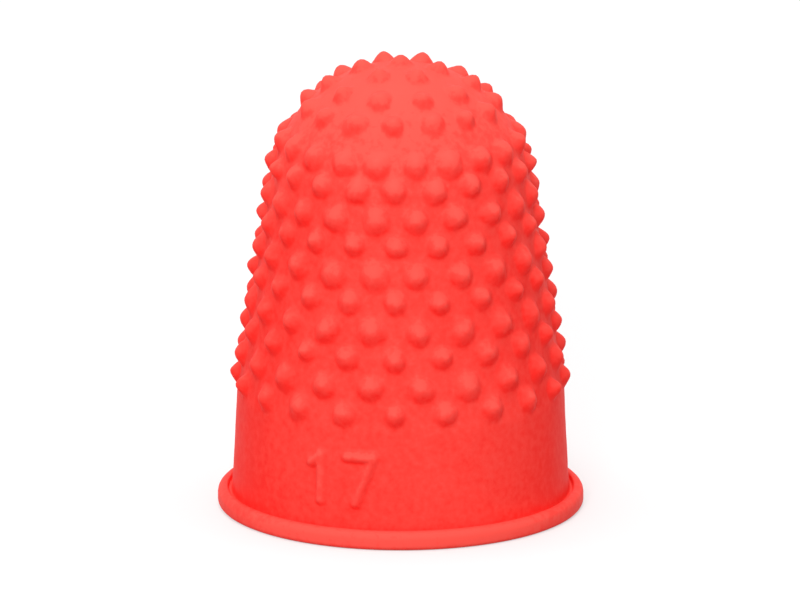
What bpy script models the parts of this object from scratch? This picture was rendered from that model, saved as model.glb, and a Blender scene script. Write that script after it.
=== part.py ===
"""Rubber finger cone: a soft moulded cap worn on a fingertip to turn pages.

The cap is one moulding. It stands on its open mouth at the origin with its axis along
+Z and its photographed front towards -Y. A rim runs round the mouth, a smooth collar
rises from it, and a tapering cone with a round dome carries staggered pimples.
Lengths are in metres and angles in radians.
"""

from math import cos, pi, radians, sin, tan

import bmesh
import bpy
from mathutils import Vector

MM = 0.001

# Wall of the cap
collar_height = 7.0 * MM
collar_draft = radians(2.7)
cone_length = 13.82 * MM
cone_taper = radians(9.0)
dome_radius = 7.8 * MM
wall_thickness = 1.4 * MM
mouth_draft = radians(1.0)

# Rim round the mouth, with a groove between it and the collar
rim_projection = 0.87 * MM
rim_height = 1.12 * MM
rim_edge_round = 0.3 * MM
rim_groove_width = 0.24 * MM
rim_groove_depth = 0.3 * MM
mouth_edge_round = 0.3 * MM

# Pimples on the cone, in staggered pairs of rows: a row of small ones, then a row of large ones
pimples_per_row = 20
row_pairs = 5
first_row_rise = 1.03 * MM
last_row_elevation = radians(25.0)
pair_gap_ratio = 1.14
row_turn = radians(-2.2)

# Pimples on the dome, one at the top and rings round it: angle from the top, number, first turn
dome_rings = (
    (radians(0.0), 1, radians(-36.0)),
    (radians(17.0), 6, radians(-35.0)),
    (radians(33.0), 10, radians(-18.0)),
    (radians(46.0), 15, radians(-4.5)),
)

# Shape of one pimple: a blunt cone with a rounded tip
pimple_height = 0.58 * MM
small_pimple_radius = 0.7 * MM
large_pimple_radius = 0.8 * MM
pimple_flank = radians(58.0)
shoulder_share = 0.6
pimple_root_depth = 0.2 * MM

# Facets of the round forms
pimple_sides = 6
dome_steps = 9
cavity_dome_steps = 6
groove_steps = 4
edge_steps = 3
crease_angle = radians(52.0)

# Rubber
rubber_colour = (0.87, 0.065, 0.048, 1.0)
rubber_roughness = 0.72

# Sizes that follow from the ones above
row_pitch = 2 * pi / pimples_per_row
wall_segments = 2 * pimples_per_row
cone_foot_radius = dome_radius * cos(cone_taper) + cone_length * sin(cone_taper)
dome_centre_height = collar_height + cone_length * cos(cone_taper) - dome_radius * sin(cone_taper)
collar_foot_radius = cone_foot_radius + (collar_height - rim_height) * tan(collar_draft)
rim_radius = collar_foot_radius + rim_projection
cavity_dome_radius = dome_radius - wall_thickness
cavity_cone_top = dome_centre_height + cavity_dome_radius * sin(cone_taper)
cavity_foot_radius = (
    cavity_dome_radius * cos(cone_taper) + (cavity_cone_top - collar_height) * tan(cone_taper)
)
mouth_radius = cavity_foot_radius + collar_height * tan(mouth_draft)


def arc(centre_radius, centre_height, arc_radius, start, stop, steps):
    """Points of a profile arc as (radius, height), from angle start to angle stop."""
    points = []
    for step in range(steps + 1):
        angle = start + (stop - start) * step / steps
        points.append((centre_radius + arc_radius * cos(angle), centre_height + arc_radius * sin(angle)))
    return points


def wall_profile():
    """Profile of the cap from the top of the dome, over the rim and up the finger cavity."""
    groove_half = rim_groove_width / 2
    groove_height = rim_height - rim_groove_depth + groove_half
    groove_radius = collar_foot_radius + groove_half
    edge_radius = rim_radius - rim_edge_round
    points = arc(0, dome_centre_height, dome_radius, pi / 2, cone_taper, dome_steps)
    points.append((cone_foot_radius, collar_height))
    points.append((collar_foot_radius, rim_height))
    points += arc(groove_radius, groove_height, groove_half, pi, 2 * pi, groove_steps)
    points.append((groove_radius + groove_half, rim_height))
    points += arc(edge_radius, rim_height - rim_edge_round, rim_edge_round, pi / 2, 0, edge_steps)
    points += arc(edge_radius, rim_edge_round, rim_edge_round, 0, -pi / 2, edge_steps)
    points += arc(
        mouth_radius + mouth_edge_round, mouth_edge_round, mouth_edge_round, -pi / 2, -pi, edge_steps
    )
    points.append((cavity_foot_radius, collar_height))
    points += arc(0, dome_centre_height, cavity_dome_radius, cone_taper, pi / 2, cavity_dome_steps)
    return points


def around(radius, turn, height):
    """Point at a turn from the front about the axis of the cap."""
    return Vector((radius * sin(turn), -radius * cos(turn), height))


def build_wall():
    """Spin the wall profile into the closed skin of the cap without its pimples."""
    bm = bmesh.new()
    profile = [bm.verts.new(around(radius, row_turn, height)) for radius, height in wall_profile()]
    edges = [bm.edges.new(pair) for pair in zip(profile, profile[1:])]
    bmesh.ops.spin(
        bm,
        geom=profile + edges,
        cent=(0, 0, 0),
        axis=(0, 0, 1),
        angle=2 * pi,
        steps=wall_segments,
        use_merge=True,
    )
    bmesh.ops.remove_doubles(bm, verts=bm.verts, dist=0.001 * MM)
    bmesh.ops.recalc_face_normals(bm, faces=bm.faces)
    mesh = bpy.data.meshes.new("finger_cone")
    bm.to_mesh(mesh)
    bm.free()
    return mesh


def wall_station(rise):
    """Radius, height and elevation of the wall's outside at a rise measured along its slope."""
    if rise <= cone_length:
        radius = cone_foot_radius - rise * sin(cone_taper)
        return radius, collar_height + rise * cos(cone_taper), cone_taper
    elevation = cone_taper + (rise - cone_length) / dome_radius
    height = dome_centre_height + dome_radius * sin(elevation)
    return dome_radius * cos(elevation), height, elevation


def add_pimple(bm, station, turn, base_radius):
    """One closed pimple, rooted in the wall at a station and a turn, pointing straight out."""
    radius, height, elevation = station
    outward = around(cos(elevation), turn, sin(elevation))
    sideways = around(1.0, turn + pi / 2, 0.0)
    upward = outward.cross(sideways)
    foot = around(radius, turn, height)
    shoulder_height = shoulder_share * pimple_height
    rings = []
    root_ring = (base_radius + pimple_root_depth / tan(pimple_flank), -pimple_root_depth)
    shoulder_ring = (base_radius - shoulder_height / tan(pimple_flank), shoulder_height)
    for ring_radius, level in (root_ring, shoulder_ring):
        ring = []
        for side in range(pimple_sides):
            angle = 2 * pi * side / pimple_sides
            offset = sideways * cos(angle) + upward * sin(angle)
            ring.append(bm.verts.new(foot + offset * ring_radius + outward * level))
        rings.append(ring)
    tip = bm.verts.new(foot + outward * pimple_height)
    root, shoulder = rings
    bm.faces.new(root)
    for side in range(pimple_sides):
        following = (side + 1) % pimple_sides
        bm.faces.new((root[side], root[following], shoulder[following], shoulder[side]))
        bm.faces.new((shoulder[side], shoulder[following], tip))


def build_pimples():
    """All pimples: pairs of rows up the cone, then the rings on the dome."""
    bm = bmesh.new()
    rows = 2 * row_pairs
    last_row_rise = cone_length + (last_row_elevation - cone_taper) * dome_radius
    row_gap = (last_row_rise - first_row_rise) / (row_pairs + (row_pairs - 1) * pair_gap_ratio)
    rise = first_row_rise
    for row in range(rows):
        is_large = row % 2 == 1
        base_radius = large_pimple_radius if is_large else small_pimple_radius
        for place in range(pimples_per_row):
            turn = row_turn + row_pitch * (place + row % 2 / 2)
            add_pimple(bm, wall_station(rise), turn, base_radius)
        rise += row_gap * pair_gap_ratio if is_large else row_gap
    top_rise = cone_length + (pi / 2 - cone_taper) * dome_radius
    for angle, count, first_turn in dome_rings:
        for place in range(count):
            turn = first_turn + 2 * pi * place / count
            add_pimple(bm, wall_station(top_rise - angle * dome_radius), turn, small_pimple_radius)
    bmesh.ops.recalc_face_normals(bm, faces=bm.faces)
    mesh = bpy.data.meshes.new("pimples")
    bm.to_mesh(mesh)
    bm.free()
    return mesh


def make_rubber():
    """Matt coral-red rubber."""
    material = bpy.data.materials.new("red_rubber")
    material.use_nodes = True
    shader = material.node_tree.nodes["Principled BSDF"]
    shader.inputs["Base Color"].default_value = rubber_colour
    shader.inputs["Roughness"].default_value = rubber_roughness
    shader.inputs["Metallic"].default_value = 0.0
    return material


for leftover in list(bpy.data.objects):
    bpy.data.objects.remove(leftover)

rubber = make_rubber()

finger_cone = bpy.data.objects.new("finger_cone", build_wall())
finger_cone.data.materials.append(rubber)
bpy.context.scene.collection.objects.link(finger_cone)

# The pimples grow out of the wall, so they are united with it into one moulding
pimple_field = bpy.data.objects.new("pimple_field", build_pimples())
pimple_field.data.materials.append(rubber)
pimple_field.hide_render = True
pimple_field.display_type = "WIRE"
bpy.context.scene.collection.objects.link(pimple_field)

union = finger_cone.modifiers.new("Pimples", "BOOLEAN")
union.operation = "UNION"
union.object = pimple_field
union.use_self = True
moulding = bpy.data.meshes.new_from_object(finger_cone.evaluated_get(bpy.context.evaluated_depsgraph_get()))
finger_cone.modifiers.remove(union)
bpy.data.objects.remove(pimple_field)

moulding.name = "finger_cone"
moulding.shade_smooth()
moulding.set_sharp_from_angle(angle=crease_angle)
finger_cone.data = moulding
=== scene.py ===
from math import cos, pi, radians, sin, tan

import bpy
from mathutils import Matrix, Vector


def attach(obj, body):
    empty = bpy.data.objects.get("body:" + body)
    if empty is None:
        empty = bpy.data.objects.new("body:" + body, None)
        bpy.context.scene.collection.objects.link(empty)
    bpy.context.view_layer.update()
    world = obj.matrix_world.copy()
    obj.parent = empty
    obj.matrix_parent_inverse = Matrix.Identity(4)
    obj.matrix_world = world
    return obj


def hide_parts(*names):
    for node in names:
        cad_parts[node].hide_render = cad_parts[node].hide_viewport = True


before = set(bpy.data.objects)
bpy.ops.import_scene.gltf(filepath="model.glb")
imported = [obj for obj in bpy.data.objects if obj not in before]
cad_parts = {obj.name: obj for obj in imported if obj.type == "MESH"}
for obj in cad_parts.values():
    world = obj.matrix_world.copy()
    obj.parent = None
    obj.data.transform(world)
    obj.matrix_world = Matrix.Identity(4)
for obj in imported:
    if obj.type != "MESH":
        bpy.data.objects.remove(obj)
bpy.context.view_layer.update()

# The cap is one piece of soft red rubber, pressed in a mould. Its profile runs from the top of
# the dome down the cone and the collar, round the rim that stiffens the mouth, and up the finger
# cavity. Every row of pimples falls on a ring of the skin, and the rings lie closer at the mark.
MM = 0.001
collar_height = 7.0 * MM
collar_draft = radians(2.7)
cone_length = 13.82 * MM
cone_taper = radians(9.0)
dome_radius = 7.8 * MM
wall_thickness = 1.4 * MM
mouth_draft = radians(1.0)
rim_projection = 0.86 * MM
rim_height = 1.12 * MM
rim_top_round = 0.45 * MM
rim_foot_round = 0.3 * MM
rim_lip_round = 0.1 * MM
rim_groove_width = 0.24 * MM
rim_groove_depth = 0.3 * MM
mouth_edge_round = 0.3 * MM
mark_top = 5.8 * MM
mark_foot = 2.2 * MM
row_pairs = 5
first_row_rise = 1.03 * MM
last_row_elevation = radians(25.0)
pair_gap_ratio = 1.14

# Steps of the skin along each stretch of the profile
dome_steps = 46
pair_steps = 10
pair_gap_steps = 11
cone_foot_steps = 6
collar_end_steps = 5
mark_steps = 36
groove_steps = 6
lip_steps = 3
rim_edge_steps = 5
mouth_edge_steps = 4
mouth_steps = 3
cavity_steps = 4
cavity_dome_steps = 14

cone_foot_radius = dome_radius * cos(cone_taper) + cone_length * sin(cone_taper)
dome_centre = collar_height + cone_length * cos(cone_taper) - dome_radius * sin(cone_taper)
collar_foot_radius = cone_foot_radius + (collar_height - rim_height) * tan(collar_draft)
rim_radius = collar_foot_radius + rim_projection
cavity_radius = dome_radius - wall_thickness
cavity_cone_top = dome_centre + cavity_radius * sin(cone_taper)
cavity_top_radius = cavity_radius * cos(cone_taper)
cavity_foot_radius = cavity_top_radius + (cavity_cone_top - collar_height) * tan(cone_taper)
mouth_radius = cavity_foot_radius + collar_height * tan(mouth_draft)
last_row_rise = cone_length + (last_row_elevation - cone_taper) * dome_radius
row_gap = (last_row_rise - first_row_rise) / (row_pairs + (row_pairs - 1) * pair_gap_ratio)


def row_rises():
    """How far up the slope each row of pimples stands, from the collar to the dome."""
    rises = [first_row_rise]
    for row in range(1, 2 * row_pairs):
        step = row_gap if row % 2 else row_gap * pair_gap_ratio
        rises.append(rises[-1] + step)
    return rises


def wall_station(rise):
    """Radius and height of the outer wall at a rise along its slope."""
    elevation = cone_taper + max(rise - cone_length, 0.0) / dome_radius
    below_dome = min(rise - cone_length, 0.0)
    radius = dome_radius * cos(elevation) - below_dome * sin(cone_taper)
    return radius, dome_centre + dome_radius * sin(elevation) + below_dome * cos(cone_taper)


def collar_radius(height):
    """Radius of the collar's outside at a height."""
    return cone_foot_radius + (collar_height - height) * tan(collar_draft)


def between(start, stop, steps):
    """Values after start up to stop, in even steps."""
    return [start + (stop - start) * step / steps for step in range(1, steps + 1)]


def round_corner(centre_radius, centre_height, corner_radius, start, stop, steps):
    """Profile points of a rounded corner, from angle start to angle stop."""
    points = []
    for angle in [start] + between(start, stop, steps):
        radius = centre_radius + corner_radius * cos(angle)
        points.append((radius, centre_height + corner_radius * sin(angle)))
    return points


dome_top_rise = cone_length + (pi / 2 - cone_taper) * dome_radius
rises = row_rises()
stations = [dome_top_rise] + between(dome_top_rise, rises[-1], dome_steps)
for row in range(len(rises) - 1, 0, -1):
    stations += between(rises[row], rises[row - 1], pair_steps if row % 2 else pair_gap_steps)
stations += between(rises[0], 0.0, cone_foot_steps)
profile = [wall_station(rise) for rise in stations]
profile[0] = (0.0, profile[0][1])
collar_heights = between(collar_height, mark_top, collar_end_steps)
collar_heights += between(mark_top, mark_foot, mark_steps)
collar_heights += between(mark_foot, rim_height, collar_end_steps)
profile += [(collar_radius(height), height) for height in collar_heights]
groove_half = rim_groove_width / 2
groove_height = rim_height - rim_groove_depth + groove_half
groove_radius = collar_foot_radius + groove_half
groove = (groove_radius, groove_height, groove_half)
profile += round_corner(*groove, pi, 2 * pi, groove_steps)
lip_radius = groove_radius + groove_half + rim_lip_round
rim_lip = (lip_radius, rim_height - rim_lip_round, rim_lip_round)
profile += round_corner(*rim_lip, pi, pi / 2, lip_steps)
rim_top = (rim_radius - rim_top_round, rim_height - rim_top_round, rim_top_round)
profile += round_corner(*rim_top, pi / 2, 0, rim_edge_steps)
rim_foot = (rim_radius - rim_foot_round, rim_foot_round, rim_foot_round)
profile += round_corner(*rim_foot, 0, -pi / 2, rim_edge_steps)
mouth_edge = (mouth_radius + mouth_edge_round, mouth_edge_round, mouth_edge_round)
profile += round_corner(*mouth_edge, -pi / 2, -pi, mouth_edge_steps)
for height in between(mouth_edge_round, collar_height, mouth_steps):
    profile.append((cavity_foot_radius + (collar_height - height) * tan(mouth_draft), height))
for share in between(0.0, 1.0, cavity_steps)[:-1]:
    radius = cavity_foot_radius + (cavity_top_radius - cavity_foot_radius) * share
    profile.append((radius, collar_height + (cavity_cone_top - collar_height) * share))
cavity_dome = (0.0, dome_centre, cavity_radius)
profile += round_corner(*cavity_dome, cone_taper, pi / 2, cavity_dome_steps)
profile[-1] = (0.0, profile[-1][1])

profile_points = [(radius, 0.0, height) for radius, height in profile]
profile_edges = [(point, point + 1) for point in range(len(profile) - 1)]
cap_mesh = bpy.data.meshes.new("finger_cone_profile")
cap_mesh.from_pydata(profile_points, profile_edges, [])
cap = bpy.data.objects.new("rubber_cap", cap_mesh)
bpy.context.scene.collection.objects.link(cap)

# The mark moulded on the collar is a plain size number, the width of the mouth in millimetres.
# It was cut into the mould as round-ended grooves, so it stands up from the rubber as soft ridges.
mark_turn = radians(-21.0)
mark_height = (mark_top + mark_foot) / 2
stroke_steps = 8
mark_strokes = {
    "one": ((-1.95, 0.85), (-1.3, 1.4), (-1.3, -1.4)),
    "seven": ((0.35, 1.4), (2.0, 1.4), (0.95, -1.4)),
}
stroke_points = []
stroke_edges = []
for corners in mark_strokes.values():
    for (x0, z0), (x1, z1) in zip(corners, corners[1:]):
        for share in [0.0] + between(0.0, 1.0, stroke_steps):
            height = mark_height + (z0 + (z1 - z0) * share) * MM
            radius = collar_radius(height)
            turn = mark_turn + (x0 + (x1 - x0) * share) * MM / radius
            stroke_points.append((radius * sin(turn), -radius * cos(turn), height))
            if share > 0.0:
                stroke_edges.append((len(stroke_points) - 2, len(stroke_points) - 1))
mark_mesh = bpy.data.meshes.new("mark_strokes")
mark_mesh.from_pydata(stroke_points, stroke_edges, [])
mark = bpy.data.objects.new("mark_strokes", mark_mesh)
bpy.context.scene.collection.objects.link(mark)

# The rubber is matt and coloured right through. Its colour holds painted light: it is painted
# paler on what faces up, most on the upper cone, the dome and the front, with a painted highlight
# on the tips of the pimples and painted shade round their feet and on what faces down. The sides,
# the back and the foot of the collar are painted deeper red as painted shade. The rim is painted
# paler. The tone is blotchy, and a fine grain covers the whole skin.
rubber = bpy.data.materials.new("red_rubber")
rubber.use_nodes = True
paint = rubber.node_tree.nodes
wires = rubber.node_tree.links
rubber_shader = paint["Principled BSDF"]
rubber_shader.inputs["Roughness"].default_value = 0.55
rubber_shader.inputs["Specular IOR Level"].default_value = 0.07
rubber_shader.inputs["Specular Tint"].default_value = (1.0, 0.9, 0.65, 1.0)
place = paint.new("ShaderNodeTexCoord")
level = paint.new("ShaderNodeSeparateXYZ")
wires.new(place.outputs["Object"], level.inputs["Vector"])


def skin_noise(scale, detail):
    """Noise that stays on the rubber."""
    noise = paint.new("ShaderNodeTexNoise")
    noise.inputs["Scale"].default_value = scale
    noise.inputs["Detail"].default_value = detail
    wires.new(place.outputs["Object"], noise.inputs["Vector"])
    return noise.outputs["Fac"]


def skin_value(name):
    """Value that the skin carries at each point."""
    value = paint.new("ShaderNodeAttribute")
    value.attribute_name = name
    return value.outputs["Fac"]


def mottle_and_painted_light_part(value, span, amounts):
    """Share of the tone, for painted light and shade and for mottle, from its first amount to its
    second over a span of a value.
    """
    part = paint.new("ShaderNodeMapRange")
    ends = ("From Min", "From Max", "To Min", "To Max")
    for name, number in zip(ends, span + amounts):
        part.inputs[name].default_value = number
    wires.new(value, part.inputs["Value"])
    return part.outputs["Result"]


facings = (-0.5, 1.0)
pimple_foot = (0.0, 0.1)
pimple_flank = (0.1, 0.4)
pimple_tip = (0.4, 0.9)
upper_cone = (11.0 * MM, 21.0 * MM)
upper_dome = (21.0 * MM, 26.0 * MM)
front_half = (-5.0 * MM, -9.0 * MM)
collar_foot = (4.5 * MM, rim_height)
rim_edge = (rim_height, rim_height - rim_top_round)
usual_noise = (0.3, 0.7)
blotches = skin_noise(scale=260.0, detail=4.0)
specks = skin_noise(scale=2500.0, detail=3.0)
grain = skin_noise(scale=5200.0, detail=3.0)
relief = skin_value("relief")
front_to_back = level.outputs["Y"]
height_up = level.outputs["Z"]
mottle_and_painted_light_parts = (
    # Painted light from above: paler where the skin faces up, deeper red where it faces down,
    # which paints a shade under each pimple.
    mottle_and_painted_light_part(skin_value("facing_up"), facings, (0.0, 1.0)),
    # Painted shade in the crease round the foot of each pimple.
    mottle_and_painted_light_part(relief, pimple_foot, (0.0, -0.08)),
    # Painted highlight, paler up the flanks and most on the tips of the pimples.
    mottle_and_painted_light_part(relief, pimple_flank, (0.0, 0.08)),
    mottle_and_painted_light_part(relief, pimple_tip, (0.0, 0.24)),
    # Painted light and sheen of the lamps above and in front: paler up the upper cone, on the
    # front and on the dome, with painted shade deeper red at the sides and the back.
    mottle_and_painted_light_part(height_up, upper_cone, (0.0, 0.2)),
    mottle_and_painted_light_part(front_to_back, front_half, (-0.16, 0.18)),
    mottle_and_painted_light_part(height_up, upper_dome, (0.0, 0.18)),
    # Painted shade in the corner above the rim, deeper red down the collar's foot.
    mottle_and_painted_light_part(height_up, collar_foot, (0.0, -0.12)),
    # The rim is painted paler below its top rounding.
    mottle_and_painted_light_part(height_up, rim_edge, (0.0, 0.7)),
    mottle_and_painted_light_part(blotches, usual_noise, (-0.08, 0.08)),
    mottle_and_painted_light_part(specks, usual_noise, (-0.2, 0.2)),
)
amount = mottle_and_painted_light_parts[0]
for part in mottle_and_painted_light_parts[1:]:
    total = paint.new("ShaderNodeMath")
    total.operation = "ADD"
    wires.new(amount, total.inputs[0])
    wires.new(part, total.inputs[1])
    amount = total.outputs[0]
tone = paint.new("ShaderNodeValToRGB")
tone_stops = (
    (0.07, (0.95, 0.026, 0.020, 1.0)),
    (0.40, (0.97, 0.046, 0.036, 1.0)),
    (0.60, (0.97, 0.056, 0.044, 1.0)),
    (0.80, (0.98, 0.067, 0.053, 1.0)),
    (1.00, (0.98, 0.088, 0.069, 1.0)),
)
ramp = tone.color_ramp.elements
ramp.remove(ramp[-1])
ramp[0].position, ramp[0].color = tone_stops[0]
for position, colour in tone_stops[1:]:
    ramp.new(position).color = colour
wires.new(amount, tone.inputs["Fac"])
wires.new(tone.outputs["Color"], rubber_shader.inputs["Base Color"])

grain_bump = paint.new("ShaderNodeBump")
grain_bump.inputs["Strength"].default_value = 0.12
grain_bump.inputs["Distance"].default_value = 0.05 * MM
wires.new(grain, grain_bump.inputs["Height"])
wires.new(grain_bump.outputs["Normal"], rubber_shader.inputs["Normal"])

# The pimples stand in rings round the axis, small rings and large rings by turns up the cone and
# three rings on the dome round one pimple at the top. They are cut into the mould, so they stand
# on the wall as blunt cones with a rounded tip and a soft foot, no two of them quite alike.
pimples_per_row = 20
row_turn = radians(-2.2)
dome_rings = (
    (radians(0.0), 1, radians(-36.0)),
    (radians(17.0), 6, radians(-35.0)),
    (radians(33.0), 10, radians(-18.0)),
    (radians(46.0), 15, radians(-4.5)),
)
pimple_height = 0.579 * MM
small_pimple_radius = 0.77 * MM
large_pimple_radius = 0.88 * MM


def new_tree(name, inputs, outputs):
    """Geometry node tree with named inputs and outputs, and its two end nodes."""
    tree = bpy.data.node_groups.new(name, "GeometryNodeTree")
    for label, kind in inputs:
        tree.interface.new_socket(label, in_out="INPUT", socket_type=kind)
    for label, kind in outputs:
        tree.interface.new_socket(label, in_out="OUTPUT", socket_type=kind)
    return tree, tree.nodes.new("NodeGroupInput"), tree.nodes.new("NodeGroupOutput")


def feed(tree, socket, value):
    """Link a socket to another, or set it to a plain value."""
    if isinstance(value, bpy.types.NodeSocket):
        tree.links.new(value, socket)
    else:
        socket.default_value = value


def sum_up(tree, operation, *values):
    """Math node on sockets or plain values."""
    node = tree.nodes.new("ShaderNodeMath")
    node.operation = operation
    for socket, value in zip(node.inputs, values):
        feed(tree, socket, value)
    return node.outputs[0]


def spot(tree, radius, turn, height):
    """Point at a turn from the front about the axis, from sockets or plain values."""
    node = tree.nodes.new("ShaderNodeCombineXYZ")
    feed(tree, node.inputs["X"], sum_up(tree, "MULTIPLY", radius, sum_up(tree, "SINE", turn)))
    behind = sum_up(tree, "MULTIPLY", radius, sum_up(tree, "COSINE", turn))
    feed(tree, node.inputs["Y"], sum_up(tree, "MULTIPLY", behind, -1.0))
    feed(tree, node.inputs["Z"], height)
    return node.outputs["Vector"]


ring_tree, ring_in, ring_out = new_tree(
    "Ring of pimples",
    (
        ("Count", "NodeSocketInt"),
        ("First turn", "NodeSocketFloat"),
        ("Ring radius", "NodeSocketFloat"),
        ("Ring height", "NodeSocketFloat"),
        ("Pimple radius", "NodeSocketFloat"),
        ("Unevenness", "NodeSocketFloat"),
        ("Seed", "NodeSocketInt"),
    ),
    (("Feet", "NodeSocketGeometry"),),
)
chance = ring_tree.nodes.new("FunctionNodeRandomValue")
chance.data_type = "FLOAT_VECTOR"
feed(ring_tree, chance.inputs["Min"], (-1.0, -1.0, -1.0))
feed(ring_tree, chance.inputs["Max"], (1.0, 1.0, 1.0))
feed(ring_tree, chance.inputs["Seed"], ring_in.outputs["Seed"])
scaled = ring_tree.nodes.new("ShaderNodeVectorMath")
scaled.operation = "SCALE"
feed(ring_tree, scaled.inputs[0], chance.outputs["Value"])
feed(ring_tree, scaled.inputs["Scale"], ring_in.outputs["Unevenness"])
stray = ring_tree.nodes.new("ShaderNodeSeparateXYZ")
feed(ring_tree, stray.inputs["Vector"], scaled.outputs["Vector"])
pimple_reach = ring_in.outputs["Pimple radius"]
place_number = ring_tree.nodes.new("GeometryNodeInputIndex").outputs[0]
share_of_turn = sum_up(ring_tree, "DIVIDE", place_number, ring_in.outputs["Count"])
even_turn = sum_up(
    ring_tree, "MULTIPLY_ADD", share_of_turn, 2 * pi, ring_in.outputs["First turn"]
)
reach_turn = sum_up(ring_tree, "DIVIDE", pimple_reach, ring_in.outputs["Ring radius"])
foot_turn = sum_up(ring_tree, "MULTIPLY_ADD", stray.outputs["X"], reach_turn, even_turn)
foot_height = sum_up(
    ring_tree, "MULTIPLY_ADD", stray.outputs["Y"], pimple_reach, ring_in.outputs["Ring height"]
)
feet = ring_tree.nodes.new("GeometryNodePoints")
feed(ring_tree, feet.inputs["Count"], ring_in.outputs["Count"])
feed(
    ring_tree,
    feet.inputs["Position"],
    spot(ring_tree, ring_in.outputs["Ring radius"], foot_turn, foot_height),
)
foot_values = {
    "pimple_radius": sum_up(
        ring_tree, "MULTIPLY_ADD", stray.outputs["Z"], pimple_reach, pimple_reach
    ),
    "pimple_share": sum_up(ring_tree, "SUBTRACT", 1.0, stray.outputs["Z"]),
}
marked_feet = feet.outputs[0]
for name, value in foot_values.items():
    noted_foot = ring_tree.nodes.new("GeometryNodeStoreNamedAttribute")
    noted_foot.data_type = "FLOAT"
    noted_foot.domain = "POINT"
    feed(ring_tree, noted_foot.inputs["Geometry"], marked_feet)
    feed(ring_tree, noted_foot.inputs["Name"], name)
    feed(ring_tree, noted_foot.inputs["Value"], value)
    marked_feet = noted_foot.outputs["Geometry"]
feed(ring_tree, ring_out.inputs["Feet"], marked_feet)

# The skin is the profile turned round the axis. Each point of it rises by its distance from the
# nearest pimple's middle, as a cone with a rounded tip, and along the mark's strokes. Soft rubber
# doesn't leave the mould quite true, so the wall and the pimples' outlines waver a little.
columns_per_pimple = 20
weld_distance = 0.001 * MM
outline_bend_scale = 900.0
wall_wave_scale = 650.0
noise_middle = 0.5
skin_tree, skin_in, skin_out = new_tree(
    "Rubber skin",
    (
        ("Profile", "NodeSocketGeometry"),
        ("Columns", "NodeSocketInt"),
        ("Pimple height", "NodeSocketFloat"),
        ("Pimple unevenness", "NodeSocketFloat"),
        ("Outline unevenness", "NodeSocketFloat"),
        ("Tip roundness", "NodeSocketFloat"),
        ("Foot softness", "NodeSocketFloat"),
        ("Skin unevenness", "NodeSocketFloat"),
        ("Mark", "NodeSocketObject"),
        ("Mark rise", "NodeSocketFloat"),
        ("Mark top half width", "NodeSocketFloat"),
        ("Mark foot half width", "NodeSocketFloat"),
        ("Rubber", "NodeSocketMaterial"),
    ),
    (("Skin", "NodeSocketGeometry"),),
)


def skin_node(kind, **settings):
    """Node of the skin's tree with its settings."""
    node = skin_tree.nodes.new(kind)
    for name, value in settings.items():
        setattr(node, name, value)
    return node


def skin_sum(operation, *values):
    """Math node of the skin's tree."""
    return sum_up(skin_tree, operation, *values)


def skin_feed(node, **values):
    """Feed the skin node's inputs, named with spaces written as underscores."""
    for name, value in values.items():
        feed(skin_tree, node.inputs[name.replace("_", " ")], value)


size_of = skin_node("GeometryNodeAttributeDomainSize", component="MESH")
skin_feed(size_of, Geometry=skin_in.outputs["Profile"])
profile_count = size_of.outputs["Point Count"]
sheet = skin_node("GeometryNodeMeshGrid")
skin_feed(
    sheet,
    Vertices_X=skin_sum("ADD", skin_in.outputs["Columns"], 1.0),
    Vertices_Y=profile_count,
)
skin_index = skin_node("GeometryNodeInputIndex").outputs[0]
column = skin_sum("FLOOR", skin_sum("DIVIDE", skin_sum("ADD", skin_index, 0.5), profile_count))
profile_index = skin_sum("SUBTRACT", skin_index, skin_sum("MULTIPLY", column, profile_count))
profile_place = skin_node("GeometryNodeSampleIndex", data_type="FLOAT_VECTOR", domain="POINT")
skin_feed(
    profile_place,
    Geometry=skin_in.outputs["Profile"],
    Value=skin_node("GeometryNodeInputPosition").outputs[0],
    Index=profile_index,
)
profile_xyz = skin_node("ShaderNodeSeparateXYZ")
skin_feed(profile_xyz, Vector=profile_place.outputs[0])
column_share = skin_sum("DIVIDE", column, skin_in.outputs["Columns"])
column_turn = skin_sum("MULTIPLY_ADD", column_share, 2 * pi, row_turn)
turned = skin_node("GeometryNodeSetPosition")
skin_feed(
    turned,
    Geometry=sheet.outputs["Mesh"],
    Position=spot(skin_tree, profile_xyz.outputs["X"], column_turn, profile_xyz.outputs["Z"]),
)
closed = skin_node("GeometryNodeMergeByDistance")
skin_feed(closed, Geometry=turned.outputs["Geometry"], Distance=weld_distance)
facing_out = skin_node("GeometryNodeFlipFaces")
skin_feed(facing_out, Mesh=closed.outputs["Geometry"])

all_feet = skin_node("GeometryNodeJoinGeometry")


def ring_of_pimples(count, first_turn, rise, pimple_radius, seed):
    """One ring of feet on the wall, added to all the feet."""
    radius, height = wall_station(rise)
    ring = skin_node("GeometryNodeGroup", node_tree=ring_tree)
    skin_feed(
        ring,
        Count=count,
        First_turn=first_turn,
        Ring_radius=radius,
        Ring_height=height,
        Pimple_radius=pimple_radius,
        Unevenness=skin_in.outputs["Pimple unevenness"] if count > 1 else 0.0,
        Seed=seed,
    )
    skin_tree.links.new(ring.outputs["Feet"], all_feet.inputs["Geometry"])


row_pitch = 2 * pi / pimples_per_row
for row, rise in enumerate(rises):
    is_large = row % 2 == 1
    ring_of_pimples(
        pimples_per_row,
        row_turn + (row_pitch / 2 if is_large else 0.0),
        rise,
        large_pimple_radius if is_large else small_pimple_radius,
        row,
    )
for ring, (angle, count, first_turn) in enumerate(dome_rings):
    ring_rise = dome_top_rise - angle * dome_radius
    ring_of_pimples(count, first_turn, ring_rise, small_pimple_radius, len(rises) + ring)

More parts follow.
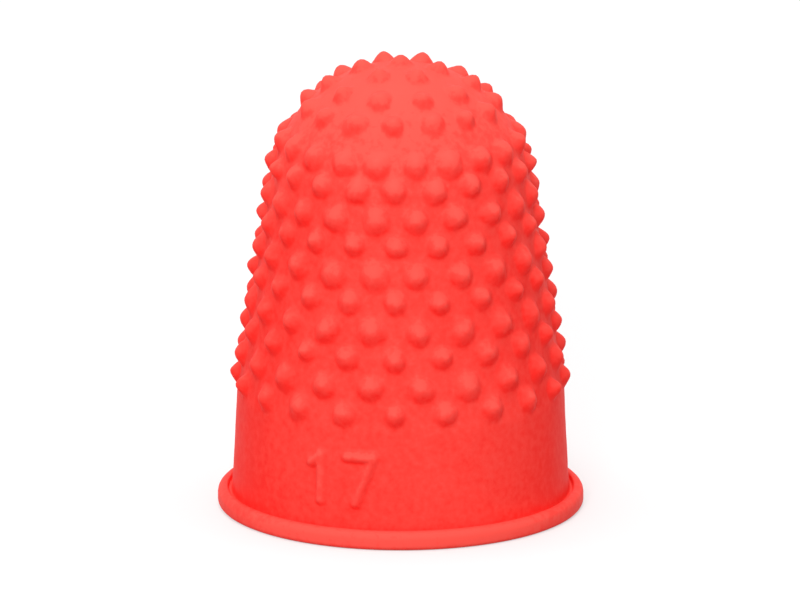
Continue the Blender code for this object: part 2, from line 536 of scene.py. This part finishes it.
here = skin_node("GeometryNodeInputPosition").outputs[0]
nearest = skin_node("GeometryNodeSampleNearest", domain="POINT")
skin_feed(nearest, Geometry=all_feet.outputs[0])
foot_place = skin_node("GeometryNodeSampleIndex", data_type="FLOAT_VECTOR", domain="POINT")
skin_feed(foot_place, Geometry=all_feet.outputs[0], Value=here, Index=nearest.outputs["Index"])


def foot_value(name):
    """Value that the nearest foot carries."""
    named = skin_node("GeometryNodeInputNamedAttribute", data_type="FLOAT")
    skin_feed(named, Name=name)
    taken = skin_node("GeometryNodeSampleIndex", data_type="FLOAT", domain="POINT")
    skin_feed(
        taken,
        Geometry=all_feet.outputs[0],
        Value=named.outputs["Attribute"],
        Index=nearest.outputs["Index"],
    )
    return taken.outputs[0]


apart = skin_node("ShaderNodeVectorMath", operation="DISTANCE")
feed(skin_tree, apart.inputs[0], here)
feed(skin_tree, apart.inputs[1], foot_place.outputs[0])
even_reach = skin_sum("DIVIDE", apart.outputs["Value"], foot_value("pimple_radius"))
bends = skin_node("ShaderNodeTexNoise")
skin_feed(bends, Vector=here, Scale=outline_bend_scale, Detail=1.0)
bend = skin_sum("SUBTRACT", bends.outputs["Fac"], noise_middle)
stretch = skin_sum("MULTIPLY_ADD", bend, skin_in.outputs["Outline unevenness"], 1.0)
reach = skin_sum("MULTIPLY", even_reach, stretch)
tip_round = skin_in.outputs["Tip roundness"]
tip_square = skin_sum("POWER", tip_round, 2.0)
foot_drop = skin_sum("SQRT", skin_sum("ADD", tip_square, 1.0))
drop_here = skin_sum("SQRT", skin_sum("ADD", tip_square, skin_sum("POWER", reach, 2.0)))
above_foot = skin_sum("SUBTRACT", foot_drop, drop_here)
nub = skin_sum("DIVIDE", above_foot, skin_sum("SUBTRACT", foot_drop, tip_round))
soft_nub = skin_sum("SMOOTH_MAX", nub, 0.0, skin_in.outputs["Foot softness"])
nub_height = skin_sum("MULTIPLY", foot_value("pimple_share"), skin_in.outputs["Pimple height"])
nub_rise = skin_sum("MULTIPLY", soft_nub, nub_height)

mark_info = skin_node("GeometryNodeObjectInfo", transform_space="ORIGINAL")
skin_feed(mark_info, Object=skin_in.outputs["Mark"])
mark_near = skin_node("GeometryNodeProximity", target_element="EDGES")
feed(skin_tree, mark_near.inputs[0], mark_info.outputs["Geometry"])
mark_shape = skin_node("ShaderNodeMapRange", interpolation_type="SMOOTHSTEP")
skin_feed(
    mark_shape,
    Value=mark_near.outputs["Distance"],
    From_Min=skin_in.outputs["Mark foot half width"],
    From_Max=skin_in.outputs["Mark top half width"],
    To_Min=0.0,
    To_Max=skin_in.outputs["Mark rise"],
)
waves = skin_node("ShaderNodeTexNoise")
skin_feed(waves, Vector=here, Scale=wall_wave_scale, Detail=1.0)
here_xyz = skin_node("ShaderNodeSeparateXYZ")
skin_feed(here_xyz, Vector=here)
above_rim = skin_node("ShaderNodeMapRange", interpolation_type="SMOOTHSTEP")
skin_feed(above_rim, Value=here_xyz.outputs["Z"], From_Min=rim_height, From_Max=2 * rim_height)
dent_share = skin_sum("MULTIPLY", waves.outputs["Fac"], above_rim.outputs["Result"])
dent = skin_sum("MULTIPLY", dent_share, skin_in.outputs["Skin unevenness"])
relief_rise = skin_sum("ADD", nub_rise, mark_shape.outputs["Result"])
rise_here = skin_sum("SUBTRACT", relief_rise, dent)
outward = skin_node("ShaderNodeVectorMath", operation="SCALE")
feed(skin_tree, outward.inputs[0], skin_node("GeometryNodeInputNormal").outputs[0])
skin_feed(outward, Scale=rise_here)
# The relief share is kept on the skin for the painted shade and highlight round the pimples in the
# rubber's colour.
mark_share = skin_sum("DIVIDE", mark_shape.outputs["Result"], skin_in.outputs["Mark rise"])
relief_here = skin_sum("ADD", soft_nub, mark_share)
noted = skin_node("GeometryNodeStoreNamedAttribute", data_type="FLOAT", domain="POINT")
skin_feed(noted, Geometry=facing_out.outputs["Mesh"], Name="relief", Value=relief_here)
raised = skin_node("GeometryNodeSetPosition")
skin_feed(raised, Geometry=noted.outputs["Geometry"], Offset=outward.outputs[0])
# How much the skin faces up is kept on it for the painted light from above in the rubber's colour.
facing = skin_node("ShaderNodeSeparateXYZ")
skin_feed(facing, Vector=skin_node("GeometryNodeInputNormal").outputs[0])
facing_noted = skin_node("GeometryNodeStoreNamedAttribute", data_type="FLOAT", domain="POINT")
skin_feed(
    facing_noted, Geometry=raised.outputs["Geometry"], Name="facing_up", Value=facing.outputs["Z"]
)
smooth = skin_node("GeometryNodeSetShadeSmooth")
skin_feed(smooth, Geometry=facing_noted.outputs["Geometry"], Shade_Smooth=True)
real = skin_node("GeometryNodeRealizeInstances")
skin_feed(real, Geometry=smooth.outputs["Geometry"])
coloured = skin_node("GeometryNodeSetMaterial")
skin_feed(coloured, Geometry=real.outputs["Geometry"], Material=skin_in.outputs["Rubber"])
feed(skin_tree, skin_out.inputs["Skin"], coloured.outputs["Geometry"])

skin_sizes = {
    "Columns": columns_per_pimple * pimples_per_row,
    "Pimple height": pimple_height,
    "Pimple unevenness": 0.09,
    "Outline unevenness": 0.6,
    "Tip roundness": 0.5,
    "Foot softness": 0.1,
    "Skin unevenness": 0.06 * MM,
    "Mark": mark,
    "Mark rise": 0.3 * MM,
    "Mark top half width": 0.06 * MM,
    "Mark foot half width": 0.42 * MM,
    "Rubber": rubber,
}
skin = cap.modifiers.new("Rubber skin", "NODES")
skin.node_group = skin_tree
for socket in skin_tree.interface.items_tree:
    if socket.in_out == "INPUT" and socket.name in skin_sizes:
        skin[socket.identifier] = skin_sizes[socket.name]
finished_cap = cap.evaluated_get(bpy.context.evaluated_depsgraph_get())
cap_skin = bpy.data.meshes.new_from_object(finished_cap)
cap.modifiers.remove(skin)
cap.data = cap_skin
cap_skin.name = "rubber_cap"
bpy.data.objects.remove(mark)
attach(cap, "root")
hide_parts("finger_cone")

# The cap stands on a plain white table that runs on behind it as the backdrop. The table is a matt
# sheet that takes the cap's shadow, and it shows white to the camera and in reflections.
table_half = 1.5
table_colour = (0.45, 0.45, 0.45, 1.0)
table_lift = 0.5
table_mesh = bpy.data.meshes.new("white_table")
table_mesh.from_pydata(
    [
        (-table_half, -table_half, 0.0),
        (table_half, -table_half, 0.0),
        (table_half, table_half, 0.0),
        (-table_half, table_half, 0.0),
    ],
    [],
    [(0, 1, 2, 3)],
)
table = bpy.data.objects.new("white_table", table_mesh)
bpy.context.scene.collection.objects.link(table)
white = bpy.data.materials.new("white_table")
white.use_nodes = True
white_nodes = white.node_tree.nodes
white_shader = white_nodes["Principled BSDF"]
white_shader.inputs["Base Color"].default_value = table_colour
white_shader.inputs["Roughness"].default_value = 0.9
white_shader.inputs["Specular IOR Level"].default_value = 0.0


def backdrop_strength(tree, as_light, as_backdrop):
    """Strength of a backdrop as a light, and as what the camera, gloss and glass show of it."""
    path = tree.nodes.new("ShaderNodeLightPath")
    shown = path.outputs["Is Camera Ray"]
    for ray in ("Is Glossy Ray", "Is Transmission Ray"):
        either = tree.nodes.new("ShaderNodeMath")
        either.operation = "MAXIMUM"
        tree.links.new(shown, either.inputs[0])
        tree.links.new(path.outputs[ray], either.inputs[1])
        shown = either.outputs[0]
    strength = tree.nodes.new("ShaderNodeMapRange")
    strength.inputs["To Min"].default_value = as_light
    strength.inputs["To Max"].default_value = as_backdrop
    tree.links.new(shown, strength.inputs["Value"])
    return strength.outputs["Result"]


white_links = white.node_tree.links
lift = white_nodes.new("ShaderNodeEmission")
white_links.new(backdrop_strength(white.node_tree, 0.0, table_lift), lift.inputs["Strength"])
both = white_nodes.new("ShaderNodeAddShader")
white_links.new(white_shader.outputs[0], both.inputs[0])
white_links.new(lift.outputs[0], both.inputs[1])
white_links.new(both.outputs[0], white_nodes["Material Output"].inputs["Surface"])
table_mesh.materials.append(white)

# A white studio lights it from all sides, with a broad lamp above, one in front and a weak one at
# each side. The studio's white shows in full behind the cap and lights it at half strength.
studio_light = 0.5
studio_white = 1.0
cap_middle = Vector((0.0, 0.0, 13.0 * MM))
studio = bpy.data.worlds.new("white_studio")
bpy.context.scene.world = studio
studio.use_nodes = True
studio_air = studio.node_tree.nodes["Background"]
studio_air.inputs["Color"].default_value = (1.0, 1.0, 1.0, 1.0)
studio.node_tree.links.new(
    backdrop_strength(studio.node_tree, studio_light, studio_white), studio_air.inputs["Strength"]
)


def soft_lamp(name, spot_at, width, watts):
    """Square lamp that faces the middle of the cap."""
    data = bpy.data.lights.new(name, "AREA")
    data.size = width
    data.energy = watts
    lamp = bpy.data.objects.new(name, data)
    lamp.location = spot_at
    beam = cap_middle - Vector(spot_at)
    lamp.rotation_euler = beam.to_track_quat("-Z", "Y").to_euler()
    bpy.context.scene.collection.objects.link(lamp)


soft_lamp("lamp_above", (-0.02, 0.03, 0.48), 0.40, 1.5)
soft_lamp("lamp_front", (-0.10, -0.60, 0.26), 0.25, 2.3)
soft_lamp("lamp_left", (-0.50, 0.04, 0.15), 0.25, 0.25)
soft_lamp("lamp_right", (0.50, 0.04, 0.15), 0.25, 0.25)

# The camera looks down a little on the front of the cap from well back, as in the photograph, with
# the scale of the photograph at the cap's axis.
camera_rise = radians(15.2)
camera_distance = 1.2
pixels_per_metre = 16650.0
photo_width = 800.0
aim = Vector((-0.04 * MM, 0.0, 12.29 * MM))
camera_data = bpy.data.cameras.new("photo_camera")
camera_data.sensor_width = 36.0
camera_data.lens = pixels_per_metre * camera_distance / photo_width * camera_data.sensor_width
camera_data.clip_start = 0.05
camera_data.clip_end = 10.0
camera = bpy.data.objects.new("photo_camera", camera_data)
sight = Vector((0.0, cos(camera_rise), -sin(camera_rise)))
camera.location = aim - sight * camera_distance
camera.rotation_euler = sight.to_track_quat("-Z", "Y").to_euler()
bpy.context.scene.collection.objects.link(camera)
bpy.context.scene.camera = camera
bpy.context.scene.view_settings.view_transform = "Standard"
